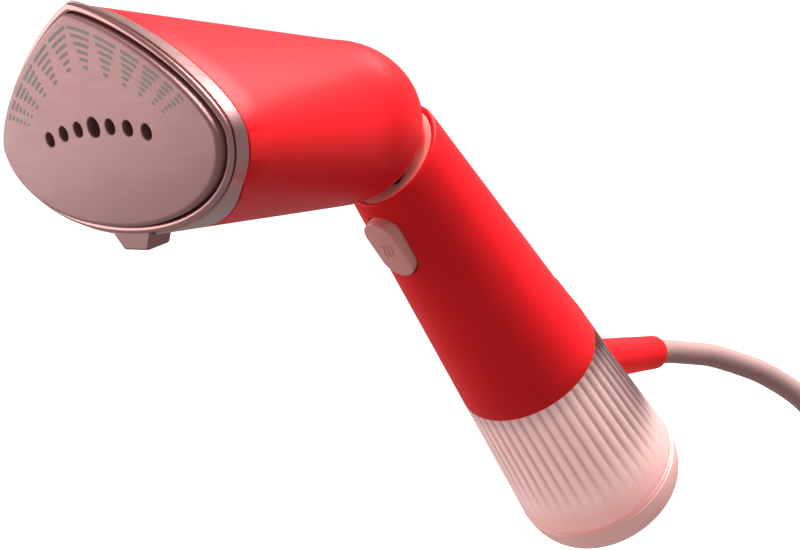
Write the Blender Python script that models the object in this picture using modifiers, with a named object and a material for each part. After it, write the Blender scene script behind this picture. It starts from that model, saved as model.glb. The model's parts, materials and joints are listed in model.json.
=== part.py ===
"""Hand-held garment steamer: a tilting steam head on a tapered handle, with a water tank that pulls off.

Frames, all in millimetres inside the helpers and in metres on the objects:
  world   +X towards the back, +Z up, origin on the handle's axis in the middle of the grip
  head    origin in the middle of the soleplate, +X back along the barrel, +Z up
  handle  origin where the barrel's and the handle's axes cross, +Z up along the handle, +X to its back
"""

import math

import bmesh
import bpy
import numpy as np
from mathutils import Matrix, Vector

MM = 0.001
GAP = 0.3  # between solids that touch on the real object

# Handle
HANDLE_LEAN = math.radians(37.1)  # from the vertical
GRIP_DOWN = 60.0  # from the crossing of the axes down to the origin
HANDLE_R0 = 14.75  # radius where the axes cross
HANDLE_TAPER = 0.086  # radius gained for each millimetre down
HANDLE_END = 99.2  # where the red shell ends and the tank begins
HANDLE_WALL = 2.4
RIM_LEVEL, RIM_TILT = -11.4, 0.32  # the oblique mouth at the top: z = level + tilt * x

# Head
HEAD_LENGTH = 84.0  # soleplate to the crossing of the axes
PLATE_TILT = math.radians(11.12)
PLATE_HALF_WIDTH, PLATE_UP, PLATE_DOWN = 46.25, 31.8, 22.5
PLATE_PEAK, PLATE_ROUND, PLATE_BELLY = 1.45, 1.27, 2.1  # exponents of the outline
BARREL_END, BARREL_R, DOME_DEPTH = 70.1, 21.97, 26.3
BAND_MIDDLE, BAND_SWEEP = 18.5, 0.0065  # the band's lower rear edge: x = middle - sweep * y * y
BAND_UPPER = 0.1  # how far along the skin the upper rear edge lies
HEAD_WALL = 2.2
SIDES = 72  # points round the head

# Joint between head and handle
HINGE_X = 73.0  # behind the soleplate, on the barrel's axis
CUP_R = 23.9  # the hollow that the dome turns in
TILT_RANGE = math.radians(53.0)
ARM_HALF, ARM_HALF_THICK = 4.0, 4.7
SHUTTER_R = 18.9
PIN_R = 2.0

# Soleplate
HOLE_PITCH, HOLE_ARC, HOLE_LEVEL = 6.67, 100.0, 3.56
HOLE_R, MIDDLE_HOLE_R = 1.72, 2.27

# Trigger
TRIGGER_AT, TRIGGER_LONG, TRIGGER_WIDE, TRIGGER_PROUD = 30.8, 20.0, 11.0, 1.9

# Tank
TANK_TOP, TANK_RING, TANK_END = 90.0, 150.0, 162.6
TANK_NECK_R, TANK_WALL, TANK_END_R = 19.0, 1.8, 23.4
DOCK_AT = 78.0
LID_LEVEL = 1.5  # the chamber cover, above the middle of the soleplate
ELEMENT_R = 2.4

# Cord
CORD_R = 4.2
GLAND_AIM = (0.723, -0.690)  # in the handle's x and z
GLAND_END = (51.2, -150.0)
SPINE_HALF, SPINE_THICK, SPINE_END = 7.0, 3.2, 141.0
HANK_TOP, HANK_LONG = -132.0, 150.0
FOLD_R = 6 * CORD_R  # radius of the hank's folds
HANK_GATHER = 16.2  # how far the tie draws each side in
HANK_LAYERS = 6
HANK_DEEP = 8.7 * (HANK_LAYERS - 1) + 2 * CORD_R
TIE_HIGH = 14.0

RED = (0.72, 0.016, 0.02, 1)
ROSE = (0.55, 0.33, 0.31, 1)
PINK = (0.62, 0.27, 0.25, 1)
CLEAR_PINK = (0.80, 0.42, 0.40, 1)
CORD_PINK = (0.50, 0.29, 0.27, 1)
STEEL = (0.55, 0.55, 0.56, 1)
CAST = (0.62, 0.62, 0.63, 1)
BLACK = (0.02, 0.02, 0.022, 1)
GREY = (0.20, 0.20, 0.21, 1)
WHITE = (0.78, 0.77, 0.74, 1)
BRASS = (0.62, 0.43, 0.15, 1)
COPPER = (0.60, 0.25, 0.12, 1)
GREEN = (0.02, 0.16, 0.06, 1)


def clear_scene():
    for old in list(bpy.data.objects):
        bpy.data.objects.remove(old, do_unlink=True)


def collection(name):
    made = bpy.data.collections.new(name)
    bpy.context.scene.collection.children.link(made)
    return made


clear_scene()
PARTS = collection("garment_steamer")
CUTTERS = collection("cutters")
CUTTERS.hide_render = True


# ---------------------------------------------------------------- helpers


def material(name, colour, roughness, metallic=0.0):
    made = bpy.data.materials.new(name)
    made.use_nodes = True
    shader = made.node_tree.nodes["Principled BSDF"]
    shader.inputs["Base Color"].default_value = colour
    shader.inputs["Roughness"].default_value = roughness
    shader.inputs["Metallic"].default_value = metallic
    return made


def empty(name, parent=None, at=(0, 0, 0), turn=0.0):
    made = bpy.data.objects.new(name, None)
    PARTS.objects.link(made)
    made.parent = parent
    made.location = Vector(at) * MM
    made.rotation_euler = (0, turn, 0)
    return made


def keep(obj, parent, look):
    """Links an object as a part, under its empty, with a material of its own."""
    PARTS.objects.link(obj)
    obj.parent = parent
    obj.data.materials.append(material(obj.name, *look))
    return obj


def cutter(obj, parent):
    CUTTERS.objects.link(obj)
    obj.parent = parent
    obj.hide_render = True
    obj.display_type = "WIRE"
    return obj


def mesh_object(name, bm):
    bmesh.ops.recalc_face_normals(bm, faces=bm.faces)
    data = bpy.data.meshes.new(name)
    bm.to_mesh(data)
    bm.free()
    data.shade_smooth()
    data.set_sharp_from_angle(angle=math.radians(35))
    return bpy.data.objects.new(name, data)


def loft(name, rings, cyclic=False):
    """A closed skin through rings of points; a one-point ring is a pole, and cyclic joins last to first."""
    bm = bmesh.new()
    rows = [[bm.verts.new(Vector(point) * MM) for point in ring] for ring in rings]
    pairs = list(zip(rows, rows[1:] + rows[:1] if cyclic else rows[1:]))
    for low, high in pairs:
        count = max(len(low), len(high))
        for i in range(count):
            j = (i + 1) % count
            corners = [low[i % len(low)], low[j % len(low)], high[j % len(high)], high[i % len(high)]]
            bm.faces.new(list(dict.fromkeys(corners)))
    if not cyclic:
        for row in (rows[0], rows[-1]):
            if len(row) > 2:
                bm.faces.new(row)
    return mesh_object(name, bm)


def turned(name, profile, steps=48):
    """A profile of (radius, z) turned about Z, from the top down its outer side, or a ring's section."""
    on_axis = profile[0][0] == 0
    data = bpy.data.meshes.new(name)
    bm = bmesh.new()
    points = [bm.verts.new(Vector((r, 0, z)) * MM) for r, z in profile]
    for low, high in zip(points, points[1:]):
        bm.edges.new((low, high))
    if not on_axis:
        bm.edges.new((points[-1], points[0]))
    bm.to_mesh(data)
    bm.free()
    obj = bpy.data.objects.new(name, data)
    screw = obj.modifiers.new("turn", "SCREW")
    screw.steps = screw.render_steps = steps
    screw.use_merge_vertices = True
    screw.merge_threshold = 1e-6
    screw.use_smooth_shade = True
    return obj


def cylinder(name, radius, low, high, sides=24, at=(0, 0), axis="Z"):
    """A cylinder between two heights along an axis; at is its place across that axis."""
    bm = bmesh.new()
    bmesh.ops.create_cone(
        bm,
        cap_ends=True,
        segments=sides,
        radius1=radius * MM,
        radius2=radius * MM,
        depth=(high - low) * MM,
    )
    middle = (low + high) / 2
    if axis == "X":
        bmesh.ops.rotate(bm, verts=bm.verts, matrix=Matrix.Rotation(math.pi / 2, 3, "Y"))
        place = (middle, at[0], at[1])
    elif axis == "Y":
        bmesh.ops.rotate(bm, verts=bm.verts, matrix=Matrix.Rotation(math.pi / 2, 3, "X"))
        place = (at[0], middle, at[1])
    else:
        place = (at[0], at[1], middle)
    bmesh.ops.translate(bm, verts=bm.verts, vec=Vector(place) * MM)
    return mesh_object(name, bm)


def box(name, low, high, round_by=0.0):
    bm = bmesh.new()
    bmesh.ops.create_cube(bm, size=1)
    size = Vector(high) - Vector(low)
    bmesh.ops.scale(bm, verts=bm.verts, vec=size * MM)
    bmesh.ops.translate(bm, verts=bm.verts, vec=(Vector(high) + Vector(low)) / 2 * MM)
    obj = mesh_object(name, bm)
    if round_by:
        bevel(obj, round_by, 2)
    return obj


def bevel(obj, width, segments=2, angle=40):
    rounded = obj.modifiers.new("round", "BEVEL")
    rounded.width = width * MM
    rounded.segments = segments
    rounded.limit_method = "ANGLE"
    rounded.angle_limit = math.radians(angle)
    rounded.harden_normals = False


def prism(name, outline, low, high, axis):
    """An outline pushed from low to high along an axis; it is given across that axis, in X, Y, Z order."""
    order = {"X": (2, 0, 1), "Y": (0, 2, 1), "Z": (0, 1, 2)}[axis]
    rings = [[[(a, b, level)[k] for k in order] for a, b in outline] for level in (low, high)]
    return loft(name, rings)


def tube(name, points, radius, resolution=2):
    curve = bpy.data.curves.new(name, "CURVE")
    curve.dimensions = "3D"
    curve.bevel_depth = radius * MM
    curve.bevel_resolution = resolution
    curve.use_fill_caps = True
    spline = curve.splines.new("POLY")
    spline.points.add(len(points) - 1)
    for spot, point in zip(spline.points, points):
        spot.co = (*(Vector(point) * MM), 1)
    return bpy.data.objects.new(name, curve)


def boolean(obj, other, operation="DIFFERENCE"):
    step = obj.modifiers.new(operation.lower(), "BOOLEAN")
    step.operation = operation
    step.object = other
    step.solver = "EXACT"


def smooth_curve(points, spacing):
    """Points about one spacing apart along a Catmull-Rom curve through the route's points."""
    route = np.array(points, float)
    route = np.vstack([2 * route[0] - route[1], route, 2 * route[-1] - route[-2]])
    fine = []
    for before, start, end, after in zip(route, route[1:], route[2:], route[3:]):
        for t in np.linspace(0, 1, 24, endpoint=False):
            fine.append(
                0.5
                * (
                    2 * start
                    + (end - before) * t
                    + (2 * before - 5 * start + 4 * end - after) * t * t
                    + (3 * start - before - 3 * end + after) * t**3
                )
            )
    fine = np.array(fine + [route[-2]])
    along = np.concatenate([[0], np.cumsum(np.linalg.norm(np.diff(fine, axis=0), axis=1))])
    count = max(2, round(along[-1] / spacing) + 1)
    marks = np.linspace(0, along[-1], count)
    columns = [np.interp(marks, along, fine[:, i]) for i in range(3)]
    return [tuple(point) for point in np.stack(columns, axis=1)]


def stadium(length, width, count=10):
    """Points round a slot shape with its long side along the second axis."""
    radius, reach = width / 2, (length - width) / 2
    ends = [(reach, 0.0), (-reach, math.pi)]
    return [
        (radius * math.cos(angle), middle + radius * math.sin(angle))
        for middle, start in ends
        for angle in np.linspace(start, start + math.pi, count + 1)
    ]


# ---------------------------------------------------------------- frames

LEAN = math.sin(HANDLE_LEAN), math.cos(HANDLE_LEAN)
CROSSING = (-GRIP_DOWN * LEAN[0], 0, GRIP_DOWN * LEAN[1])
PLATE_AT = (CROSSING[0] - HEAD_LENGTH, 0, CROSSING[2])
HINGE_AT = (PLATE_AT[0] + HINGE_X, 0, PLATE_AT[2])

HANDLE = empty("handle_frame", None, CROSSING, -HANDLE_LEAN)
HEAD_JOINT = empty("head_tilt_axis", None, HINGE_AT)
HEAD = empty("head_frame", HEAD_JOINT, (-HINGE_X, 0, 0))
HEAD_FIXED = empty("head_rest_frame", None, PLATE_AT)
PLATE = empty("plate_frame", HEAD, (0, 0, 0), -PLATE_TILT)
TRIGGER = empty("trigger_axis", HANDLE, (0, 0, -TRIGGER_AT))
TANK = empty("tank_axis", HANDLE)
PLUG = empty("filler_plug_axis", TANK)


def in_head(x, z):
    """A point of the handle's frame, given in the head's at rest."""
    return HEAD_LENGTH + x * LEAN[1] - z * LEAN[0], x * LEAN[0] + z * LEAN[1]


ARM_FOOT = in_head(0, -27.0)
ARM_ANGLE = math.degrees(math.atan2(ARM_FOOT[1], ARM_FOOT[0] - HINGE_X))
ARM_LENGTH = math.hypot(ARM_FOOT[1], ARM_FOOT[0] - HINGE_X)


def handle_radius(down):
    return HANDLE_R0 + HANDLE_TAPER * down


# ---------------------------------------------------------------- the head's outline


def outline(inset=0.0):
    """A fine outline of the soleplate in its own plane: a rounded peak above an ellipse."""
    half, up, down = PLATE_HALF_WIDTH - inset, PLATE_UP - 1.05 * inset, PLATE_DOWN - inset
    low = [
        (half * math.cos(a) ** (2 / PLATE_BELLY), -down * (-math.sin(a)) ** (2 / PLATE_BELLY))
        for a in np.linspace(-math.pi / 2, 0, 200)[1:-1]
    ]
    high = [
        (half * (1 - v**PLATE_PEAK) ** (1 / PLATE_ROUND), up * v)
        for v in 1 - np.linspace(1, 0, 300)[1:-1] ** 2
    ]
    right = [(0.0, -down)] + low + [(half, 0.0)] + high + [(0.0, up)]
    left = [(-y, z) for y, z in right[-2:0:-1]]
    return np.array(right + left)


ANGLES = np.linspace(0, 2 * math.pi, SIDES, endpoint=False)
FACING = np.stack([np.cos(ANGLES), np.sin(ANGLES)], axis=1)


def plate_ring(inset=0.0, depth=0.0):
    """The outline's point that faces each angle, in the head's frame, at a depth behind the soleplate."""
    fine = outline(inset)
    flat = fine[np.argmax(FACING @ fine.T, axis=1)]
    sin, cos = math.sin(PLATE_TILT), math.cos(PLATE_TILT)
    x, z = depth * cos - flat[:, 1] * sin, depth * sin + flat[:, 1] * cos
    return np.stack([x, flat[:, 0], z], axis=1)


def barrel_ring(inset=0.0):
    radius = BARREL_R - inset
    return np.stack([np.full(SIDES, BARREL_END), radius * FACING[:, 0], radius * FACING[:, 1]], axis=1)


def skin_ring(share, inset=0.0):
    """A ring on the head's straight-ruled skin; share is 0 at the soleplate and 1 at the barrel's end."""
    share = np.reshape(share, (-1, 1)) if np.ndim(share) else share
    return plate_ring(inset) * (1 - share) + barrel_ring(inset) * share


def band_share(inset=0.0, back=0.0):
    """How far along the skin the band's swept rear edge lies, for each angle."""
    front, rear = plate_ring(inset), barrel_ring(inset)
    share = np.full(SIDES, 0.2)
    for _ in range(30):
        y = front[:, 1] * (1 - share) + rear[:, 1] * share
        edge = BAND_MIDDLE - BAND_SWEEP * y * y + back
        share = (edge - front[:, 0]) / (rear[:, 0] - front[:, 0])
    upper = BAND_UPPER + back / (rear[:, 0] - front[:, 0])
    return np.where(front[:, 2] > 0, upper, np.maximum(share, upper))


def dome_rings(inset=0.0, steps=9):
    rings = []
    for a in np.linspace(0, math.pi / 2, steps + 1)[1:-1]:
        radius, x = (BARREL_R - inset) * math.cos(a), BARREL_END + (DOME_DEPTH - inset) * math.sin(a)
        rings.append(np.stack([np.full(SIDES, x), radius * FACING[:, 0], radius * FACING[:, 1]], axis=1))
    return rings + [[(BARREL_END + DOME_DEPTH - inset, 0, 0)]]


# ---------------------------------------------------------------- head


def sector(name, low, high, inner, outer, half):
    """A wedge about the tilt axis, between two angles above the barrel's axis."""
    angles = np.radians(np.linspace(low, high, 12))
    rim = [(HINGE_X + outer * math.cos(a), outer * math.sin(a)) for a in angles]
    root = [(HINGE_X + inner * math.cos(a), inner * math.sin(a)) for a in angles[::-1]]
    return prism(name, rim + root, -half, half, "Y")


def head_shell():
    front = band_share()
    middle = [skin_ring(front + (1 - front) * t) for t in (0, 0.5, 1)]
    inner_front = band_share(HEAD_WALL)
    inside = [skin_ring(inner_front + (1 - inner_front) * t, HEAD_WALL) for t in (0, 0.5, 1)]
    rings = dome_rings()[::-1] + middle[::-1] + inside + dome_rings(HEAD_WALL)
    shell = keep(loft("head_shell", rings), HEAD, (RED, 0.32))
    ends = ARM_ANGLE - 14, ARM_ANGLE + math.degrees(TILT_RANGE) + 14
    boolean(shell, cutter(sector("arm_slot", *ends, 12, 40, 5.2), HEAD))


def bezel():
    rear = band_share(0.0, -GAP)
    rings = [
        plate_ring(0.6, 0.3),
        plate_ring(0.0, 0.9),
        skin_ring(rear),
        skin_ring(band_share(1.7, -GAP), 1.7),
        plate_ring(1.7, 2.4),
        plate_ring(2.2, 2.4),
        plate_ring(2.2, 0.3),
    ]
    frame = keep(loft("bezel", rings, cyclic=True), HEAD, (ROSE, 0.28, 0.8))
    foot = [(-8.0, -21.6), (-4.8, -26.4), (4.8, -26.4), (8.0, -21.6)]
    tab = cutter(prism("tab_block", foot, 0.8, 7.5, "X"), PLATE)
    boolean(frame, tab, "UNION")


def hole_places():
    for i in range(-3, 4):
        across = i * HOLE_PITCH
        radius = MIDDLE_HOLE_R if i == 0 else HOLE_R
        yield across, HOLE_LEVEL - across * across / (2 * HOLE_ARC), radius


def soleplate():
    rings = [plate_ring(3.0, -1.2), plate_ring(2.5, -0.7), plate_ring(2.5, 3.0)]
    plate = keep(loft("soleplate", rings), HEAD, (ROSE, 0.3, 0.9))
    for i, (across, level, radius) in enumerate(hole_places()):
        hole = cylinder(f"steam_hole_{i}", radius, -3, 6, 16, (across, level), "X")
        boolean(plate, cutter(hole, PLATE))


def steam_chamber():
    rings = [plate_ring(11.0, 3.3), plate_ring(11.0, 13.0)]
    block = keep(loft("steam_chamber", rings), HEAD, (CAST, 0.45, 1.0))
    pocket = loft("chamber_pocket", [plate_ring(13.0, 2.0), plate_ring(13.0, 9.0)])
    boolean(block, cutter(pocket, HEAD))
    lid = [(along, across + LID_LEVEL) for across, along in stadium(30.0, 10.0)]
    keep(prism("chamber_cover", lid, 13.0 + GAP, 15.3, "X"), PLATE, (CAST, 0.5, 1.0))


def heating_element():
    bend = [(21.5 * math.cos(a), 0.5 - 7.2 * math.sin(a)) for a in np.linspace(0, math.pi, 15)]
    rail = [(bend[0][0], 5.0)] + bend + [(bend[-1][0], 5.0)]
    points = [(13.0 + GAP + ELEMENT_R, y, z) for y, z in rail]
    keep(tube("heating_element", points, ELEMENT_R, 2), PLATE, (GREY, 0.4, 1.0))


def heat_shield():
    share = band_share(4.4, 6.0)
    rings = [
        plate_ring(4.4, 3.6),
        skin_ring(share, 4.4),
        skin_ring(share, 5.4),
        plate_ring(5.4, 3.6),
    ]
    keep(loft("heat_shield", rings, cyclic=True), HEAD, (WHITE, 0.5))


def chamber_fittings():
    keep(cylinder("thermostat", 4.4, 15.6, 19.6, 24, (-2.0, LID_LEVEL), "X"), PLATE, (STEEL, 0.3, 1.0))
    keep(cylinder("thermal_fuse", 1.8, -8.0, 4.0, 12, (15.4, 10.0), "Y"), PLATE, (WHITE, 0.4))
    keep(cylinder("water_inlet", 2.0, 15.6, 24.0, 16, (8.0, LID_LEVEL), "X"), PLATE, (BRASS, 0.3, 1.0))
    for i, across in enumerate((-12.6, 12.6), 1):
        screw = cylinder(f"lid_screw_{i}", 1.6, 15.6, 17.0, 16, (across, LID_LEVEL), "X")
        keep(screw, PLATE, (STEEL, 0.3, 1.0))
    front = [(24.0, 8.0, 6.2), (31, 8.6, 8.2), (41, 11.0, 11.2), (50, 12.0, 12.4)]
    rear = [(61, 12.0, 12.2), (69, 11.6, 10.0), (72.4, 11.4, 7.0), (HINGE_X, 11.3, 4.7)]
    hose = smooth_curve(front + rear, 4)
    keep(tube("head_hose", hose, 2.0, 2), HEAD, (WHITE, 0.5))
    coupling = cylinder("rotary_coupling", 4.0, 9.5, 13.0, 20, (HINGE_X, 0), "Y")
    keep(coupling, HEAD, (BRASS, 0.35, 1.0))


def head_chassis():
    corners = [(-17, -13), (-13, -16), (13, -16), (17, -13), (17, 14), (13, 17), (-13, 17), (-17, 14)]
    bulkhead = keep(prism("head_chassis", corners, 50, 53, "X"), HEAD, (BLACK, 0.5))
    boolean(bulkhead, cutter(cylinder("hose_hole", 2.8, 48, 55, 16, (12.0, 12.4), "X"), HEAD))
    for side in (-1, 1):
        low, high = sorted((side * 5.6, side * 9.0))
        turn = np.linspace(-math.pi / 2, math.pi / 2, 13)
        rim = [(HINGE_X + 7 * math.cos(a), 7 * math.sin(a)) for a in turn]
        lug = prism(f"lug_{side}", rim + [(52, 9), (52, -9)], low, high, "Y")
        boolean(lug, cutter(cylinder(f"lug_bore_{side}", 3.3, -12, 12, 24, (HINGE_X, 0), "Y"), HEAD))
        boolean(bulkhead, cutter(lug, HEAD), "UNION")


def hinge():
    keep(cylinder("hinge_pin", PIN_R, -11, 9.2, 20, (HINGE_X, 0), "Y"), HEAD_FIXED, (STEEL, 0.25, 1.0))
    for side, name in ((-1, "hinge_bush_near"), (1, "hinge_bush_far")):
        profile = [(PIN_R + GAP, 8.9), (3.0, 8.9), (3.0, 5.7), (PIN_R + GAP, 5.7)]
        bush = keep(turned(name, profile, 20), HEAD, (BRASS, 0.3, 1.0))
        bush.location = Vector((HINGE_X, 0, 0)) * MM
        bush.rotation_euler = (side * -math.pi / 2, 0, 0)
    for side, name in ((-1, "friction_washer_near"), (1, "friction_washer_far")):
        low, high = sorted((side * (ARM_HALF_THICK + GAP), side * (ARM_HALF_THICK + 2 * GAP)))
        washer = keep(cylinder(name, 5.5, low, high, 24, (HINGE_X, 0), "Y"), HEAD_FIXED, (STEEL, 0.3, 1.0))
        bore = cylinder(name + "_bore", PIN_R + GAP, low - 1, high + 1, 24, (HINGE_X, 0), "Y")
        boolean(washer, cutter(bore, HEAD_FIXED))


def arm_outline(start, end, half):
    """A bar's outline between two distances from the tilt axis, along the arm."""
    along = Vector((math.cos(math.radians(ARM_ANGLE)), math.sin(math.radians(ARM_ANGLE))))
    across = Vector((-along.y, along.x)) * half
    near, far = (Vector((HINGE_X, 0)) + along * distance for distance in (start, end))
    return [tuple(near - across), tuple(far - across), tuple(far + across), tuple(near + across)]


def pivot_arm():
    """The handle's arm: a round eye on the pin and a neck that runs down into the handle."""
    bar = prism("pivot_arm", arm_outline(0, ARM_LENGTH, ARM_HALF), -ARM_HALF_THICK, ARM_HALF_THICK, "Y")
    arm = keep(bar, HEAD_FIXED, (BLACK, 0.45))
    eye = cylinder("arm_eye", 6.0, -ARM_HALF_THICK, ARM_HALF_THICK, 32, (HINGE_X, 0), "Y")
    boolean(arm, cutter(eye, HEAD_FIXED), "UNION")
    boolean(arm, cutter(cylinder("arm_bore", PIN_R + GAP, -12, 12, 24, (HINGE_X, 0), "Y"), HEAD_FIXED))


def slot_shutter():
    """A curved strip behind the dome's slot, which turns with the arm and keeps the slot closed."""
    strip = sector("slot_shutter", ARM_ANGLE - 68, ARM_ANGLE + 68, 12, 30, 7.4)
    keep(strip, HEAD_FIXED, (PINK, 0.4))
    boolean(strip, cutter(sphere("shutter_outer", SHUTTER_R), HEAD_FIXED), "INTERSECT")
    boolean(strip, cutter(sphere("shutter_inner", SHUTTER_R - 1), HEAD_FIXED))
    window = prism("shutter_window", arm_outline(8, 32, ARM_HALF + GAP), -5.0, 5.0, "Y")
    boolean(strip, cutter(window, HEAD_FIXED))


def sphere(name, radius, rings=24, sides=48):
    bm = bmesh.new()
    bmesh.ops.create_uvsphere(bm, u_segments=sides, v_segments=rings, radius=radius * MM)
    bmesh.ops.rotate(bm, verts=bm.verts, matrix=Matrix.Rotation(math.pi / 2, 3, "X"))
    bmesh.ops.translate(bm, verts=bm.verts, vec=Vector((HINGE_X, 0, 0)) * MM)
    return mesh_object(name, bm)


# ---------------------------------------------------------------- handle


def rim_block(name, lower):
    """Everything above the handle's oblique mouth, lowered along the axis."""
    rise = 80 * RIM_TILT
    level = RIM_LEVEL - lower
    side = [(-80, level - rise), (80, level + rise), (80, 140), (-80, 140)]
    return cutter(prism(name, side, -60, 60, "Y"), HANDLE)


def handle_shell():
    inner = HANDLE_R0 - HANDLE_WALL
    end_inner = handle_radius(HANDLE_END) - HANDLE_WALL
    end = -HANDLE_END
    profile = [(inner, 0), (HANDLE_R0, 0), (handle_radius(HANDLE_END), end), (end_inner, end)]
    tube_shell = keep(turned("handle_shell", profile, 72), HANDLE, (RED, 0.34))
    boolean(tube_shell, rim_block("mouth_cut", 0.0))
    boolean(tube_shell, cutter(sphere("cup_cut", CUP_R), HEAD_FIXED))
    boolean(tube_shell, cutter(cord_spine(), HANDLE), "UNION")
    window = prism("trigger_window", stadium(TRIGGER_LONG + 0.9, TRIGGER_WIDE + 0.9), -30, -6, "X")
    boolean(tube_shell, cutter(window, TRIGGER))


def cord_spine():
    """A low ridge down the tank's back that carries the cord's gland below the shell."""
    rings = []
    turn = np.linspace(-math.pi / 2, math.pi / 2, 13)
    for down in (84.0, 92.0, HANDLE_END, 110.0, 122.0, 132.0, 138.0, SPINE_END):
        clear = handle_radius(down) + 0.7
        near = handle_radius(down) - 1.6 if down < HANDLE_END - 1 else clear
        end = min(1.0, math.sqrt(max(0.0, (SPINE_END + 0.6 - down) / 10)))
        start = min(1.0, (down - 80.0) / 19.0)
        crown = SPINE_THICK * (0.25 + 0.75 * end) * start
        half = SPINE_HALF * (0.45 + 0.55 * end)
        arch = [(clear + crown * math.cos(a), half * math.sin(a), -down) for a in turn[1:-1]]
        rings.append([(near, -half, -down)] + arch + [(near, half, -down)])
    return loft("spine", rings)


def joint_collar():
    """The liner in the handle's mouth, hollowed for the dome and open for the arm."""
    top, low = 0.0, 18.5
    inner = HANDLE_R0 - HANDLE_WALL - GAP
    profile = [(0, top), (inner, top), (inner + HANDLE_TAPER * low, -low), (0, -low)]
    collar = keep(turned("joint_collar", profile, 48), HANDLE, (PINK, 0.35))
    boolean(collar, rim_block("collar_cut", 1.3))
    boolean(collar, cutter(sphere("collar_cup", CUP_R + 0.2), HEAD_FIXED))
    passage = prism("collar_slot", arm_outline(0, 60, ARM_HALF + GAP), -5.0, 5.0, "Y")
    boolean(collar, cutter(passage, HEAD_FIXED))


def handle_core():
    keep(box("handle_chassis", (-1.5, -12.5, -76.0), (1.5, 12.5, -27.6)), HANDLE, (BLACK, 0.5))
    body = [(0, -43), (4.8, -43), (4.8, -47), (3.2, -47), (3.2, -70), (4.8, -70), (4.8, -74), (0, -74)]
    pump = keep(turned("pump_body", body, 20), HANDLE, (WHITE, 0.4))
    pump.location = Vector((8.0, 0, 0)) * MM
    winding = [(3.6, -51), (6.0, -51), (6.0, -66), (3.6, -66)]
    coil = keep(turned("pump_coil", winding, 20), HANDLE, (COPPER, 0.4, 1.0))
    coil.location = Vector((8.0, 0, 0)) * MM
    keep(box("control_board", (-3.8, -10.0, -76.0), (-2.2, 10.0, -43.0)), HANDLE, (GREEN, 0.5))
    keep(box("relay", (-11.5, -6.0, -73.0), (-4.2, 6.0, -58.0), 0.5), HANDLE, (BLACK, 0.4))
    keep(cylinder("capacitor", 3.0, -10.8, -4.2, 16, (0, -51.5), "X"), HANDLE, (GREY, 0.4))
    keep(box("microswitch", (-9.0, -3.0, -35.8), (-4.2, 3.0, -27.6), 0.4), HANDLE, (BLACK, 0.4))
    route = [(8.0, 0.0, -42.3), (8.0, 0.4, -39.0), (7.4, 5.0, -34.0), (6.4, 8.4, -28.0), (6.0, 8.8, -20.0)]
    hose = smooth_curve(route, 3)
    keep(tube("pump_hose", hose, 1.6, 2), HANDLE, (WHITE, 0.5))
    keep(box("terminal_block", (2.2, 7.4, -73.0), (8.8, 13.6, -56.0), 0.4), HANDLE, (WHITE, 0.4))
    through = [(15.8, 0.8, -86.0), (15.2, 1.5, -82.4), (15.0, 1.9, -78.6)]
    across = [(13.0, 5.0, -76.0), (9.4, 8.8, -76.0), (6.4, 10.4, -75.4)]
    cable = smooth_curve(through + across, 2.5)
    keep(tube("inner_cable", cable, 1.6, 2), HANDLE, (BLACK, 0.5))
    for i, across in enumerate((-8.0, 8.0), 1):
        screw = cylinder(f"board_screw_{i}", 1.5, -5.3, -4.1, 16, (across, -46.0), "X")
        keep(screw, HANDLE, (STEEL, 0.3, 1.0))


def trigger():
    face = handle_radius(TRIGGER_AT) + TRIGGER_PROUD
    button = keep(
        prism("trigger", stadium(TRIGGER_LONG, TRIGGER_WIDE), -face, -11.6, "X"), TRIGGER, (PINK, 0.35)
    )
    flange = prism("trigger_flange", stadium(TRIGGER_LONG + 2.4, TRIGGER_WIDE + 1.0), -13.0, -11.8, "X")
    boolean(button, cutter(flange, TRIGGER), "UNION")
    turns, radius = 5, 2.2
    spring = [
        (-11.3 + 5.0 * t / turns, radius * math.cos(math.tau * t), radius * math.sin(math.tau * t) - 8.2)
        for t in np.linspace(0, turns, 10 * turns + 1)
    ]
    keep(tube("trigger_spring", spring, 0.35, 1), TRIGGER, (STEEL, 0.3, 1.0))
    seat = box("spring_seat", (-5.6, -3.2, -10.9), (-1.9, 3.2, -5.5))
    keep(seat, TRIGGER, (BLACK, 0.5))


def tank_dock():
    wall = handle_radius(DOCK_AT) - HANDLE_WALL - GAP
    profile = [(3.3, -DOCK_AT), (wall, -DOCK_AT), (wall, -DOCK_AT - 3), (3.3, -DOCK_AT - 3)]
    dock = keep(turned("tank_dock", profile, 48), HANDLE, (BLACK, 0.45))
    boolean(dock, cutter(cylinder("cable_hole", 3.0, -83, -75, 16, (15.0, 1.8)), HANDLE))
    ring = [(3.0, -81.3), (6.0, -81.3), (6.0, -83.0), (3.0, -83.0)]
    keep(turned("dock_seal", ring, 24), HANDLE, (GREY, 0.6))


# ---------------------------------------------------------------- tank


def water_tank():
    low = TANK_RING - 0.3
    shoulder = HANDLE_END + GAP
    profile = [
        (3.0, -TANK_TOP),
        (TANK_NECK_R, -TANK_TOP),
        (TANK_NECK_R, -shoulder),
        (handle_radius(shoulder), -shoulder),
        (handle_radius(low), -low),
        (handle_radius(low) - TANK_WALL, -low),
        (handle_radius(shoulder) - TANK_WALL, -shoulder - TANK_WALL),
        (TANK_NECK_R - TANK_WALL, -shoulder - TANK_WALL),
        (TANK_NECK_R - TANK_WALL, -TANK_TOP - TANK_WALL),
        (3.0, -TANK_TOP - TANK_WALL),
    ]
    tank = keep(turned("water_tank", profile, 64), TANK, (CLEAR_PINK, 0.4))
    boolean(tank, cutter(cylinder("filler_hole", 4.3, -95, -86, 20, (-11.5, 0)), TANK))
    ring = [(TANK_NECK_R + 0.3, -93.0), (20.0, -93.0), (20.0, -95.0), (TANK_NECK_R + 0.3, -95.0)]
    keep(turned("tank_seal", ring, 40), TANK, (GREY, 0.6))


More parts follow.
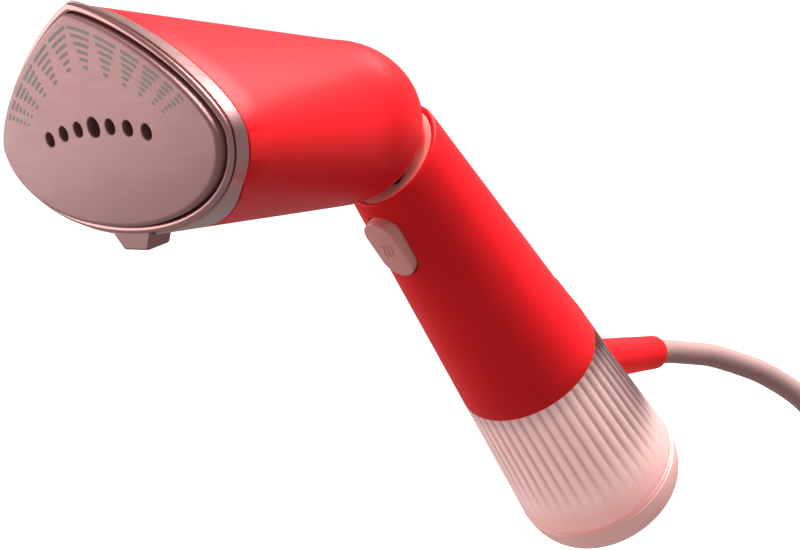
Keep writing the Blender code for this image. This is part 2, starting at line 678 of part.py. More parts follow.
def tank_base():
    top = handle_radius(TANK_RING)
    depth = TANK_END - TANK_RING
    wide = top + 0.2
    curve = [
        (TANK_END_R + (wide - TANK_END_R) * math.cos(a), -TANK_RING - 1.2 - (depth - 1.2) * math.sin(a))
        for a in np.linspace(0, math.pi / 2, 8)
    ]
    floor = 2.0 - TANK_END
    inside = [(0, floor), (19.5, floor), (top - 3.2, -TANK_RING - 7.0), (top - 3.2, -TANK_RING)]
    profile = inside + [(top, -TANK_RING)] + curve + [(0, -TANK_END - 0.4)]
    keep(turned("tank_base", profile, 64), TANK, (CLEAR_PINK, 0.35))


def tank_fittings():
    stem = [(0, -77.0), (2.6, -77.0), (2.6, -92.1), (6.5, -92.1), (6.5, -93.4), (0, -93.4)]
    keep(turned("outlet_valve", stem, 24), TANK, (WHITE, 0.4))
    keep(cylinder("pickup_tube", 1.6, -146.0, -93.8, 12), TANK, (WHITE, 0.4))
    sieve = [(0, -146.4), (4.2, -146.4), (4.2, -151.5), (0, -151.5)]
    keep(turned("pickup_filter", sieve, 16), TANK, (STEEL, 0.4, 1.0))
    plug = [(0, -88.0), (5.8, -88.0), (5.8, -89.7), (3.9, -89.7), (3.9, -93.2), (0, -93.2)]
    made = keep(turned("filler_plug", plug, 20), PLUG, (GREY, 0.6))
    made.location = Vector((-11.5, 0, 0)) * MM


# ---------------------------------------------------------------- cord


def gland_turn():
    """The gland's own frame: +Z from the handle along the cord."""
    return math.atan2(GLAND_AIM[0], GLAND_AIM[1])


def cord_gland():
    reach = 36.0
    frame = empty("gland_frame", HANDLE, (GLAND_END[0], 0, GLAND_END[1]), gland_turn())
    tip = [(5.9 - 2.4 * (1 - math.cos(a)), -2.4 + 2.4 * math.sin(a)) for a in np.linspace(0, math.pi / 2, 5)]
    profile = [(0, 0.0)] + tip[::-1] + [(6.9, -reach), (0, -reach)]
    gland = keep(turned("cord_gland", profile, 32), frame, (RED, 0.36))
    rings = []
    for down in (80.0, 175.0):
        face = handle_radius(down) + 0.7 + SPINE_THICK + GAP
        rings.append([(-60, -40, -down), (face, -40, -down), (face, 40, -down), (-60, 40, -down)])
    boolean(gland, cutter(loft("gland_foot_cut", rings), HANDLE))


def cord_route():
    """The free cord in world millimetres: out of the gland, round to the side and down to the hank."""
    return [
        (96.2, 0.0, -41.1),
        (101.6, -0.4, -41.9),
        (112.2, -3.0, -44.3),
        (121.6, -6.6, -46.8),
        (132.4, -12.6, -51.9),
        (139.8, -17.6, -56.5),
        (149.0, -24.5, -65.0),
        (155.0, -30.0, -74.5),
        (158.6, -33.5, -86.0),
        (160.1, -35.1, -98.0),
        (160.4, -35.4, -110.0),
        (160.4, -35.4, HANK_TOP + GAP),
    ]


def hank_half_width(level):
    """Half the width of the hank's loops at a level from its middle, where the tie gathers them."""
    straight = (HANK_LONG - 2 * CORD_R) / 2 - FOLD_R
    return FOLD_R - HANK_GATHER * math.cos(math.pi * level / (2 * straight)) ** 2


def hank_outline():
    straight = (HANK_LONG - 2 * CORD_R) / 2 - FOLD_R
    outer = FOLD_R + CORD_R
    top = [(outer * math.cos(a), straight + outer * math.sin(a)) for a in np.linspace(0, math.pi, 17)]
    levels = np.linspace(straight, -straight, 13)[1:-1]
    left = [(-hank_half_width(level) - CORD_R, level) for level in levels]
    return top + left + [(-x, -z) for x, z in top] + [(-x, -z) for x, z in left]


def cord():
    keep(tube("cord", smooth_curve(cord_route(), 4 * CORD_R), CORD_R, 3), None, (CORD_PINK, 0.55))
    along, across, top = cord_route()[-1]
    middle = empty("hank_middle", None, (along, across + CORD_R - HANK_DEEP / 2, HANK_TOP - HANK_LONG / 2))
    half = HANK_DEEP / 2
    keep(prism("cord_hank", hank_outline(), -half, half, "Y"), middle, (CORD_PINK, 0.55))
    inner = hank_half_width(TIE_HIGH / 2) + CORD_R + GAP
    wide, deep = inner + 1.2, half + 1.5
    strap = box("cord_tie", (-wide, -deep, -TIE_HIGH / 2), (wide, deep, TIE_HIGH / 2))
    tie = keep(strap, middle, (BLACK, 0.6))
    hole = box("tie_hole", (-inner, -half - GAP, -TIE_HIGH), (inner, half + GAP, TIE_HIGH))
    boolean(tie, cutter(hole, middle))
    bevel(tie, 0.8, 2)


def mains_plug():
    """A flat two-pin plug that hangs from the end of the cord, below the hank."""
    along, across, top = cord_route()[-1]
    far = across - (HANK_DEEP - 2 * CORD_R)
    frame = empty("plug_frame", None, (along, far, HANK_TOP - HANK_LONG - GAP))
    relief = [(0, 0), (5.2, 0), (6.4, -20.0), (6.4, -24.0), (0, -24.0)]
    side = [(9.0, -22.0), (13.5, -33), (17.6, -46), (17.6, -50)]
    body = side + [(-x, z) for x, z in side[::-1]]
    plug = keep(prism("plug_body", body, -6.8, 6.8, "Y"), frame, (CORD_PINK, 0.4))
    bevel(plug, 2.2, 3, 30)
    boolean(plug, cutter(turned("plug_relief", relief, 20), frame), "UNION")
    for i, side in enumerate((-1, 1), 1):
        tip = [(0, -50.0 - GAP), (2.0, -50.0 - GAP), (2.0, -68.0), (1.4, -69.0), (0, -69.2)]
        pin = keep(turned(f"plug_pin_{i}", tip, 16), frame, (STEEL, 0.25, 1.0))
        pin.location = Vector((side * 9.3, 0, 0)) * MM


def build():
    head_shell()
    bezel()
    soleplate()
    steam_chamber()
    heating_element()
    heat_shield()
    chamber_fittings()
    head_chassis()
    hinge()
    pivot_arm()
    slot_shutter()
    handle_shell()
    joint_collar()
    handle_core()
    trigger()
    tank_dock()
    water_tank()
    tank_base()
    tank_fittings()
    cord_gland()
    cord()
    mains_plug()


build()
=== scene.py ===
"""Looks of the garment steamer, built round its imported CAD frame.

Lengths in the helpers are millimetres, in one of three frames, and to_world turns them into the scene's
metres:
  HEAD    origin in the middle of the soleplate, +X back along the barrel, +Z up
  PLATE   the same, tipped with the soleplate
  HANDLE  origin where the barrel's and the handle's axes cross, +Z up along the handle, +X to its back
"""

import json
import math

import bmesh
import bpy
import numpy as np
from mathutils import Matrix, Vector


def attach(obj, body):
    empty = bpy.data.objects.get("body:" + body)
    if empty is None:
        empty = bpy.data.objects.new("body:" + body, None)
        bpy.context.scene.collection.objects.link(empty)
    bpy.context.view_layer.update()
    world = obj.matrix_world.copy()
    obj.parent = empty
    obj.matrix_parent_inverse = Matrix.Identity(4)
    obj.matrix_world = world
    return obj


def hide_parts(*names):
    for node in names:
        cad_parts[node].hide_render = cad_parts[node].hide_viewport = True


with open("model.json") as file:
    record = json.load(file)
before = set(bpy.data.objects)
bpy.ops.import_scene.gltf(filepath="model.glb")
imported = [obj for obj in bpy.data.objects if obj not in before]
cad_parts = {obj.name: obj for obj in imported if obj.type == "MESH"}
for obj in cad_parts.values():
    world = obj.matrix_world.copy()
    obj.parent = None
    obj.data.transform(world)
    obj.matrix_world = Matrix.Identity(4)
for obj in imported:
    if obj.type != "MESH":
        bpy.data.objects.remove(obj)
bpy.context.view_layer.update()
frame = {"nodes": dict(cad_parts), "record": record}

MM = 0.001

# ------------------------------------------------------------------ frames and driving sizes

LEAN = math.radians(37.1)  # the handle, from the vertical
GRIP_DOWN = 60.0
HEAD_LENGTH = 84.0
PLATE_TILT = math.radians(11.12)
CROSSING = Vector((-GRIP_DOWN * math.sin(LEAN), 0, GRIP_DOWN * math.cos(LEAN)))

HANDLE = Matrix.Translation(CROSSING) @ Matrix.Rotation(-LEAN, 4, "Y")
HEAD = Matrix.Translation(CROSSING - Vector((HEAD_LENGTH, 0, 0)))
PLATE = HEAD @ Matrix.Rotation(-PLATE_TILT, 4, "Y")
WORLD = Matrix.Identity(4)

PLATE_HALF_WIDTH, PLATE_UP, PLATE_DOWN = 46.25, 31.55, 22.5
PLATE_PEAK, PLATE_ROUND, PLATE_BELLY = 1.45, 1.27, 2.1
BARREL_END, BARREL_R, DOME_DEPTH = 70.1, 21.97, 26.3
PEAK_INSET = 1.05  # how far the peak moves for an inset of 1
BAND_MIDDLE, BAND_SWEEP, BAND_UPPER = 18.5, 0.0065, 0.1
SHELL_WALL = 2.2
HOLES_EACH_SIDE, HOLE_PITCH, HOLE_LEVEL, HOLE_ARCH_R = 3, 6.67, 3.56, 100.0
MIDDLE_HOLE_R, HOLE_R = 2.27, 1.72
STROKE_LENGTHS, STROKE_GAP, STROKE_WIDE = (8.0, 7.4, 5.7, 4.8, 2.7, 1.6), 2.0, 0.75
STROKE_ROWS, ROW_INSET, ROW_PITCH = 6, 5.0, 1.65
SEAM = 0.3  # between pieces
SIDES = 216

HINGE_X, CUP_R = 73.0, 23.9
HINGE = Vector((-11.0 * math.cos(LEAN), 0, 11.0 * math.sin(LEAN)))  # in the handle's frame
TILT_RANGE = 53.0
ARM_DOWN = 27.0
SLOT_SPARE, SLOT_HALF = 14.0, 5.2  # degrees past each end of the arm's swing, and half its width
SLOT_NEAR, SLOT_FAR = 12.0, 40.0  # from the hinge

HANDLE_R0, HANDLE_TAPER, HANDLE_END = 14.75, 0.086, 99.2
RIM_LEVEL, RIM_TILT = -11.4, 0.32
LIP_R = 0.75
COLLAR_DOWN, CUP_DOWN = 18.4, 15.4
PASSAGE_HALF, PASSAGE_SIDE, PASSAGE_LONG = 4.3, 5.0, 60

TRIGGER_AT, TRIGGER_LONG, TRIGGER_WIDE, TRIGGER_PROUD = 30.8, 20.0, 11.0, 1.9
WINDOW_SPARE = 0.9
SIGN_PITCH, SIGN_SWAY, SIGN_LONG, SIGN_R = 1.5, 0.42, 4.2, 0.2

TANK_RING, TANK_END, TANK_END_R = 150.0, 162.6, 23.4
RIBS, RIB_DEEP = 46, 0.5
NECK_R, TANK_WALL_TOP = 17.2, 99.5
SPINE_CLEAR = 0.7  # the ridge's arch starts this far outside the handle's taper
SPINE_END, SPINE_CROWN, SPINE_HALF = 141.6, 3.2, 7.0
GLAND_TIP, GLAND_AIM = Vector((51.2, 0, -150.0)), (0.723, -0.690)  # in the handle's frame

CORD_R = 4.2
HANK_TOP, HANK_LONG, HANK_LAYERS, HANK_PITCH = -132.0, 150.0, 6, 8.7
FOLD_R, HANK_GATHER = 6 * CORD_R, 16.2


# ------------------------------------------------------------------ camera


def camera():
    """At the photograph's viewing angle: 45 degrees round from the near side to the steam face, 7 up."""
    view = bpy.data.cameras.new("camera")
    view.sensor_width = 36.0
    view.lens = 56.61
    view.clip_start, view.clip_end = 0.01, 20
    made = bpy.data.objects.new("camera", view)
    bpy.context.scene.collection.objects.link(made)
    forward = Vector((0.6985, 0.7048, -0.1238)).normalized()
    up = Vector((0.1417, 0.0334, 0.9893))
    right = forward.cross(up).normalized()
    up = right.cross(forward)
    turn = Matrix((right, up, -forward)).transposed().to_4x4()
    made.matrix_world = Matrix.Translation((-0.27554, -0.24866, 0.04808)) @ turn
    bpy.context.scene.camera = made


# ------------------------------------------------------------------ material helpers


class Shader:
    """A material's node tree, with short calls for the nodes used here."""

    def __init__(self, name, **values):
        self.material = bpy.data.materials.new(name)
        self.material.use_nodes = True
        self.tree = self.material.node_tree
        self.surface = self.tree.nodes["Principled BSDF"]
        self.set(**values)

    def set(self, **values):
        for key, value in values.items():
            socket = self.surface.inputs[key.replace("_", " ")]
            socket.default_value = (*value, 1.0) if socket.type == "RGBA" else value

    def node(self, kind, **inputs):
        made = self.tree.nodes.new(kind)
        for key, value in inputs.items():
            self.join(value, made.inputs[key])
        return made

    def join(self, value, socket):
        if isinstance(value, bpy.types.NodeSocket):
            self.tree.links.new(value, socket)
        else:
            socket.default_value = value

    def place(self):
        return self.node("ShaderNodeTexCoord").outputs["Object"]

    def noise(self, scale, detail=2.0, roughness=0.5, vector=None):
        made = self.node("ShaderNodeTexNoise", Scale=scale, Detail=detail, Roughness=roughness)
        self.tree.links.new(vector or self.place(), made.inputs["Vector"])
        return made.outputs["Fac"]

    def attribute(self, name):
        made = self.tree.nodes.new("ShaderNodeAttribute")
        made.attribute_name = name
        return made.outputs["Fac"]

    def ramp(self, value, *stops):
        """Colours or numbers over a value from 0 to 1: each stop is (position, colour)."""
        made = self.node("ShaderNodeValToRGB", Fac=value)
        points = made.color_ramp.elements
        while len(points) < len(stops):
            points.new(0.5)
        for point, (position, colour) in zip(points, stops):
            point.position = position
            point.color = (*colour, 1.0) if isinstance(colour, tuple) else (colour, colour, colour, 1.0)
        return made.outputs["Color"]

    def mix(self, share, first, second):
        made = self.tree.nodes.new("ShaderNodeMix")
        made.data_type = "RGBA"
        for value, socket in ((share, made.inputs[0]), (first, made.inputs[6]), (second, made.inputs[7])):
            if isinstance(value, tuple):
                value = (*value, 1.0)
            self.join(value, socket)
        return made.outputs[2]

    def scaled(self, value, low, high):
        made = self.node("ShaderNodeMapRange", Value=value)
        made.inputs["To Min"].default_value = low
        made.inputs["To Max"].default_value = high
        return made.outputs["Result"]

    def colour(self, output):
        self.join(output, self.surface.inputs["Base Color"])

    def roughness(self, output):
        self.join(output, self.surface.inputs["Roughness"])

    def bump(self, height, strength, distance):
        made = self.node("ShaderNodeBump", Height=height, Strength=strength, Distance=distance)
        self.join(made.outputs["Normal"], self.surface.inputs["Normal"])


def moulded(name, colour, roughness, grain=5200.0, depth=0.06, spread=0.06, **values):
    """Moulded plastic: a fine spark-eroded grain, faint unevenness and slightly uneven gloss."""
    shader = Shader(name, Roughness=roughness, **values)
    patch = shader.noise(28.0, 3.0)
    light = tuple(min(1.0, part * (1 + spread)) for part in colour)
    deep = tuple(part * (1 - spread) for part in colour)
    shader.colour(shader.ramp(patch, (0.3, deep), (0.7, light)))
    shader.roughness(shader.scaled(shader.noise(160.0, 4.0), roughness - 0.05, roughness + 0.05))
    shader.bump(shader.noise(grain, 2.0), depth, 0.00004)
    return shader


def metal(name, colour, roughness, streak=(1.0, 1.0, 1.0), scale=900.0, depth=0.05, metallic=1.0, **values):
    """Metal with a fine finish whose marks run along the axis with the smallest streak."""
    shader = Shader(name, Metallic=metallic, Roughness=roughness, **values)
    stretched = shader.node("ShaderNodeMapping", Vector=shader.place())
    stretched.inputs["Scale"].default_value = streak
    marks = shader.noise(scale, 3.0, 0.6, stretched.outputs["Vector"])
    dark = tuple(part * 0.9 for part in colour)
    shader.colour(shader.ramp(shader.noise(40.0, 3.0), (0.3, dark), (0.7, colour)))
    shader.roughness(shader.scaled(marks, roughness - 0.06, roughness + 0.06))
    shader.bump(marks, depth, 0.00003)
    return shader


# ------------------------------------------------------------------ materials


def red_shell():
    return moulded("red_satin", (0.95, 0.012, 0.017), 0.42, Specular_IOR_Level=0.14)


def rose_plate():
    return metal("rose_plate", (0.42, 0.205, 0.195), 0.4, (1.0, 0.12, 1.0), 700.0, 0.03, 0.55)


def rose_band():
    return metal("rose_band", (0.58, 0.31, 0.295), 0.3, (0.2, 1.0, 1.0), 500.0, 0.02)


def pink_plastic():
    return moulded("pink_satin", (0.90, 0.37, 0.32), 0.42, grain=4200.0)


def pattern_ink():
    return moulded("grey_ink", (0.33, 0.27, 0.245), 0.5, grain=3000.0, spread=0.1)


def tank_plastic():
    """Frosted pink with painted shade: darker down in the grooves, on the back where the cord's ridge shows
    through from behind, and just below the mouth; it also glows faintly in its own colour, a painted light.
    """
    shader = Shader("frosted_pink", Roughness=0.3, Subsurface_Weight=0.35, Subsurface_Scale=0.004)
    shader.set(Subsurface_Radius=(1.0, 0.45, 0.4), Coat_Weight=0.15, Coat_Roughness=0.15)
    cloud = shader.ramp(shader.noise(45.0, 2.0), (0.3, (0.80, 0.50, 0.47)), (0.7, (0.86, 0.56, 0.53)))
    # painted shade: darker down in the grooves
    groove_shaded = shader.mix(shader.attribute("groove_shade"), cloud, (0.30, 0.14, 0.135))
    foot = shader.mix(shader.attribute("foot"), groove_shaded, (0.76, 0.40, 0.37))
    # painted shade: near-black where the shadow mark is set, on the back side and below the mouth
    shaded = shader.mix(shader.attribute("shadow"), foot, (0.05, 0.02, 0.018))
    shader.colour(shaded)
    # painted light: the wall glows faintly in its own colour, as if lit through
    shader.join(shaded, shader.surface.inputs["Emission Color"])
    shader.set(Emission_Strength=0.45)
    shader.roughness(shader.scaled(shader.noise(300.0, 3.0), 0.26, 0.36))
    shader.bump(shader.noise(3600.0), 0.04, 0.00003)
    return shader


def base_plastic():
    pink = (0.74, 0.385, 0.36)
    shader = moulded("base_pink", pink, 0.3, grain=3600.0)
    shader.set(Subsurface_Weight=0.25, Subsurface_Scale=0.003, Subsurface_Radius=(1.0, 0.45, 0.4))
    # painted light: pieces in this pink glow faintly in their own colour
    shader.set(Coat_Weight=0.15, Coat_Roughness=0.15, Emission_Color=pink, Emission_Strength=0.3)
    return shader


def cord_jacket():
    return moulded("cord_jacket", (0.40, 0.235, 0.22), 0.52, grain=2400.0, depth=0.1)


def slot_looks():
    """One material for each of the record's slots, for the CAD nodes that stay in view."""
    return {
        "red_shell": red_shell(),
        "rose_metal": rose_plate(),
        "pink_plastic": pink_plastic(),
        "tank_plastic": base_plastic(),
        "cord_jacket": cord_jacket(),
        "steel": metal("steel", (0.56, 0.56, 0.57), 0.28, (1.0, 1.0, 0.1)),
        "cast_block": metal("cast_block", (0.16, 0.12, 0.115), 0.65, depth=0.3),
        "black_plastic": moulded("black_plastic", (0.018, 0.018, 0.02), 0.5),
        "grey_rubber": moulded("grey_rubber", (0.11, 0.11, 0.115), 0.7, grain=2600.0),
        "white_plastic": moulded("white_plastic", (0.70, 0.69, 0.66), 0.42),
        "brass": metal("brass", (0.66, 0.46, 0.18), 0.3, (1.0, 0.1, 1.0)),
        "copper": metal("copper", (0.72, 0.33, 0.18), 0.32, (0.1, 1.0, 1.0)),
        "board": moulded("board", (0.012, 0.10, 0.035), 0.38, grain=1500.0),
    }


# ------------------------------------------------------------------ mesh helpers


def finish_mesh(obj, angle=32):
    obj.data.shade_smooth()
    obj.data.set_sharp_from_angle(angle=math.radians(angle))
    return obj


def loft(name, rings, cyclic=False, marks=None, angle=32):
    """A closed skin through rings of points.

    A one-point ring is a pole, cyclic joins last to first, and marks gives each attribute's value at every
    point.
    """
    bm = bmesh.new()
    rows = [[bm.verts.new([float(part) for part in point]) for point in ring] for ring in rings]
    for low, high in zip(rows, rows[1:] + rows[:1] if cyclic else rows[1:]):
        count = max(len(low), len(high))
        for i in range(count):
            j = (i + 1) % count
            corners = [low[i % len(low)], low[j % len(low)], high[j % len(high)], high[i % len(high)]]
            bm.faces.new(list(dict.fromkeys(corners)))
    if not cyclic:
        for row in (rows[0], rows[-1]):
            if len(row) > 2:
                bm.faces.new(row)
    bmesh.ops.recalc_face_normals(bm, faces=bm.faces)
    data = bpy.data.meshes.new(name)
    bm.to_mesh(data)
    bm.free()
    for key, values in (marks or {}).items():
        layer = data.attributes.new(key, "FLOAT", "POINT")
        layer.data.foreach_set("value", [float(value) for value in values])
    obj = bpy.data.objects.new(name, data)
    bpy.context.scene.collection.objects.link(obj)
    return finish_mesh(obj, angle)


def turned(name, profile, sides=96):
    """A profile of (radius, z) turned about Z; a radius of 0 makes a pole."""
    turn = np.linspace(0, math.tau, sides, endpoint=False)
    rings = []
    for radius, z in profile:
        if radius == 0:
            rings.append([(0.0, 0.0, z)])
        else:
            rings.append([(radius * math.cos(a), radius * math.sin(a), z) for a in turn])
    return loft(name, rings, cyclic=profile[0][0] != 0)


def prism(name, rim, low, high, axis):
    """A flat outline drawn out between two levels along X or Y."""
    order = {"X": (2, 0, 1), "Y": (0, 2, 1)}[axis]
    return loft(name, [[[(a, b, level)[k] for k in order] for a, b in rim] for level in (low, high)])


def arc(centre, radius, start, end, steps):
    """Points of a rounded corner, between two angles in degrees."""
    turn = np.radians(np.linspace(start, end, steps))
    return [(centre[0] + radius * math.cos(a), centre[1] + radius * math.sin(a)) for a in turn]


def carve(obj, other):
    """Cuts obj with other and removes other."""
    cut = obj.modifiers.new("carve", "BOOLEAN")
    cut.operation = "DIFFERENCE"
    cut.object = other
    cut.solver = "EXACT"
    bpy.context.view_layer.update()
    graph = bpy.context.evaluated_depsgraph_get()
    shaped = bpy.data.meshes.new_from_object(obj.evaluated_get(graph))
    obj.modifiers.clear()
    obj.data = shaped
    bpy.data.objects.remove(other, do_unlink=True)
    return finish_mesh(obj)


def bevel(obj, width, segments=3, angle=40):
    edge = obj.modifiers.new("round", "BEVEL")
    edge.width = width
    edge.segments = segments
    edge.limit_method = "ANGLE"
    edge.angle_limit = math.radians(angle)
    return obj


def stadium(length, width, count=16):
    """Points round a slot shape with its long side along the second axis."""
    radius, reach = width / 2, (length - width) / 2
    return [
        (radius * math.cos(angle), middle + radius * math.sin(angle))
        for middle, start in ((reach, 0.0), (-reach, math.pi))
        for angle in np.linspace(start, start + math.pi, count + 1)
    ]


def smooth_curve(points, spacing):
    """Points about one spacing apart along a Catmull-Rom curve through the route's points."""
    route = np.array(points, float)
    route = np.vstack([2 * route[0] - route[1], route, 2 * route[-1] - route[-2]])
    fine = []
    for before, start, end, after in zip(route, route[1:], route[2:], route[3:]):
        for t in np.linspace(0, 1, 24, endpoint=False):
            square = 2 * before - 5 * start + 4 * end - after
            cube = 3 * start - before - 3 * end + after
            fine.append(start + 0.5 * ((end - before) * t + (square * t * t + cube * t**3)))
    fine = np.array(fine + [route[-2]])
    along = np.concatenate([[0], np.cumsum(np.linalg.norm(np.diff(fine, axis=0), axis=1))])
    marks = np.linspace(0, along[-1], max(2, round(along[-1] / spacing) + 1))
    return np.stack([np.interp(marks, along, fine[:, i]) for i in range(3)], axis=1)


def tube(name, points, radius, resolution=5):
    """A round rod of millimetre points as a curve."""
    curve = bpy.data.curves.new(name, "CURVE")
    curve.dimensions = "3D"
    curve.bevel_depth = radius
    curve.bevel_resolution = resolution
    curve.use_fill_caps = True
    spline = curve.splines.new("POLY")
    spline.points.add(len(points) - 1)
    for spot, point in zip(spline.points, points):
        spot.co = (*[float(part) for part in point], 1)
    spline.use_smooth = True
    obj = bpy.data.objects.new(name, curve)
    bpy.context.scene.collection.objects.link(obj)
    return obj


def to_world(obj, place):
    """Puts a piece's own points, in a frame's millimetres, where they go in the scene's metres."""
    scale = Matrix.Diagonal((MM, MM, MM, 1.0))
    obj.data.transform(scale @ place)
    if obj.type == "CURVE":
        obj.data.bevel_depth *= MM
        obj.data.splines[0].points.foreach_set("radius", [1.0] * len(obj.data.splines[0].points))
    for modifier in obj.modifiers:
        if modifier.type == "BEVEL":
            modifier.width *= MM
    if obj.type == "MESH":
        obj.data.update()
    return obj


def fit(obj, place, body, slot, look, *nodes):
    """Places a piece, gives it its material, sets what it rides on and hides the CAD nodes it stands for."""
    to_world(obj, place)
    obj.data.materials.clear()
    obj.data.materials.append(look.material)
    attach(obj, body)
    if nodes:
        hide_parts(*nodes)
    return obj


# ------------------------------------------------------------------ cord


def cord_route():
    """The free cord in world millimetres: out of the gland, round to the side and down to the hank."""
    return [
        (96.2, 0.0, -41.1),
        (101.6, -0.4, -41.9),
        (112.2, -3.0, -44.3),
        (121.6, -6.6, -46.8),
        (132.4, -12.6, -51.9),
        (139.8, -17.6, -56.5),
        (149.0, -24.5, -65.0),
        (155.0, -30.0, -74.5),
        (158.6, -33.5, -86.0),
        (160.1, -35.1, -98.0),
        (160.4, -35.4, -110.0),
        (160.4, -35.4, HANK_TOP + SEAM),
    ]


def hank_path():
    """The folded length about the hank's middle: in at the top, round in long loops, out at the bottom."""
    straight = (HANK_LONG - 2 * CORD_R) / 2 - FOLD_R
    half = HANK_LONG / 2

    def side(level):
        return FOLD_R - HANK_GATHER * math.cos(math.pi * level / (2 * straight)) ** 2

    waist = side(0.0)
    ease = [(t, 3 * t * t - 2 * t**3) for t in np.linspace(0, 1, 22)]
    levels = np.linspace(straight, -straight, 30)
    path = [(-waist * share, 0.0, half * (1 - t)) for t, share in ease]
    path += [(-side(level), 0.0, level) for level in levels[levels < -1]]
    for turn in range(HANK_LAYERS - 1):
        deep = turn * HANK_PITCH
        for a in np.linspace(0, math.pi, 26)[1:-1]:
            path.append((-FOLD_R * math.cos(a), deep, -straight - FOLD_R * math.sin(a)))
        for level in -levels:
            share = (level + straight) / (2 * straight)
            path.append((side(level), deep + HANK_PITCH * (3 * share**2 - 2 * share**3), level))
        deep += HANK_PITCH
        for a in np.linspace(0, math.pi, 26)[1:-1]:
            path.append((FOLD_R * math.cos(a), deep, straight + FOLD_R * math.sin(a)))
        last = turn == HANK_LAYERS - 2
        path += [(-side(level), deep, level) for level in levels if not last or level > 1]
    deep = (HANK_LAYERS - 1) * HANK_PITCH
    path += [(-waist * (1 - share), deep, -half * t) for t, share in ease]
    return path


def cord(looks):
    free = smooth_curve(cord_route(), 3.0)
    x, y = free[-1][:2]
    middle = HANK_TOP - HANK_LONG / 2
    wound = [(x + a, y - b, middle + c) for a, b, c in hank_path()]
    points = [tuple(point) for point in free] + wound
    lead = tube("mains_lead", points, CORD_R, 5)
    fit(lead, WORLD, "handle", "cord_jacket", looks["cord_jacket"], "cord", "cord_hank")


# ------------------------------------------------------------------ head


def outline(inset=0.0):
    """A fine outline of the soleplate in its own plane: a rounded peak above an ellipse."""
    half, up, down = PLATE_HALF_WIDTH - inset, PLATE_UP - PEAK_INSET * inset, PLATE_DOWN - inset
    low = [
        (half * math.cos(a) ** (2 / PLATE_BELLY), -down * (-math.sin(a)) ** (2 / PLATE_BELLY))
        for a in np.linspace(-math.pi / 2, 0, 3000)[1:-1]
    ]
    high = [
        (half * (1 - v**PLATE_PEAK) ** (1 / PLATE_ROUND), up * v)
        for v in 1 - np.linspace(1, 0, 4000)[1:-1] ** 2
    ]
    right = [(0.0, -down)] + low + [(half, 0.0)] + high + [(0.0, up)]
    left = [(-y, z) for y, z in right[-2:0:-1]]
    return np.array(right + left)


ANGLES = np.linspace(0, math.tau, SIDES, endpoint=False)
FACING = np.stack([np.cos(ANGLES), np.sin(ANGLES)], axis=1)


def plate_ring(inset=0.0, depth=0.0):
    """The outline's point that faces each angle, in the head's frame, at a depth behind the soleplate."""
    fine = outline(inset)
    flat = fine[np.argmax(FACING @ fine.T, axis=1)]
    sin, cos = math.sin(PLATE_TILT), math.cos(PLATE_TILT)
    return np.stack([depth * cos - flat[:, 1] * sin, flat[:, 0], depth * sin + flat[:, 1] * cos], axis=1)


def round_ring(x, radius):
    return np.stack([np.full(SIDES, x), radius * FACING[:, 0], radius * FACING[:, 1]], axis=1)


def skin_ring(share, inset=0.0):
    """A ring on the head's straight-ruled skin; share is 0 at the soleplate and 1 at the barrel's end."""
    share = np.reshape(share, (-1, 1)) if np.ndim(share) else share
    return plate_ring(inset) * (1 - share) + round_ring(BARREL_END, BARREL_R - inset) * share


def band_share(back=0.0, inset=0.0):
    """How far along the skin the band's swept rear edge lies, for each angle."""
    front, rear = plate_ring(inset), round_ring(BARREL_END, BARREL_R - inset)
    share = np.full(SIDES, 0.2)
    for _ in range(30):
        y = front[:, 1] * (1 - share) + rear[:, 1] * share
        edge = BAND_MIDDLE - BAND_SWEEP * y * y + back
        share = (edge - front[:, 0]) / (rear[:, 0] - front[:, 0])
    upper = BAND_UPPER + back / (rear[:, 0] - front[:, 0])
    return np.where(front[:, 2] > 0, upper, np.maximum(share, upper))


def dome_rings(inset=0.0, steps=18):
    rings = []
    for a in np.linspace(0, math.pi / 2, steps + 1)[1:-1]:
        x = BARREL_END + (DOME_DEPTH - inset) * math.sin(a)
        rings.append(round_ring(x, (BARREL_R - inset) * math.cos(a)))
    return rings + [[(BARREL_END + DOME_DEPTH - inset, 0, 0)]]


def arm_way():
    """The handle's arm in the head's frame at rest: its angle, in degrees, seen along Y."""
    sin, cos = math.sin(LEAN), math.cos(LEAN)
    foot = (HEAD_LENGTH + ARM_DOWN * sin - HINGE_X, -ARM_DOWN * cos)
    return math.degrees(math.atan2(foot[1], foot[0]))


def head_skin(looks):
    """The red shell from the band to the rounded rear that turns in the handle, with the arm's slot."""
    lip = [(0.0, 1.4), (0.0, 0.45), (0.12, 0.16), (0.4, 0.0)]
    front = [skin_ring(band_share(back, inset), inset) for back, inset in lip]
    start = band_share(0.4)
    middle = [skin_ring(start + (1 - start) * t) for t in np.linspace(0, 1, 9)[1:]]
    inner = band_share(0.0, SHELL_WALL)
    inside = [skin_ring(inner + (1 - inner) * t, SHELL_WALL) for t in (0, 0.5, 1)]
    rings = dome_rings()[::-1] + middle[::-1] + front[::-1] + inside + dome_rings(SHELL_WALL, 9)
    shell = loft("head_skin", rings)
    turn = np.radians(np.linspace(arm_way() - SLOT_SPARE, arm_way() + TILT_RANGE + SLOT_SPARE, 24))
    rim = [(HINGE_X + SLOT_FAR * math.cos(a), SLOT_FAR * math.sin(a)) for a in turn]
    root = [(HINGE_X + SLOT_NEAR * math.cos(a), SLOT_NEAR * math.sin(a)) for a in turn[::-1]]
    carve(shell, prism("slot", rim + root, -SLOT_HALF, SLOT_HALF, "Y"))
    fit(shell, HEAD, "head", "red_shell", looks["red_shell"], "head_shell")


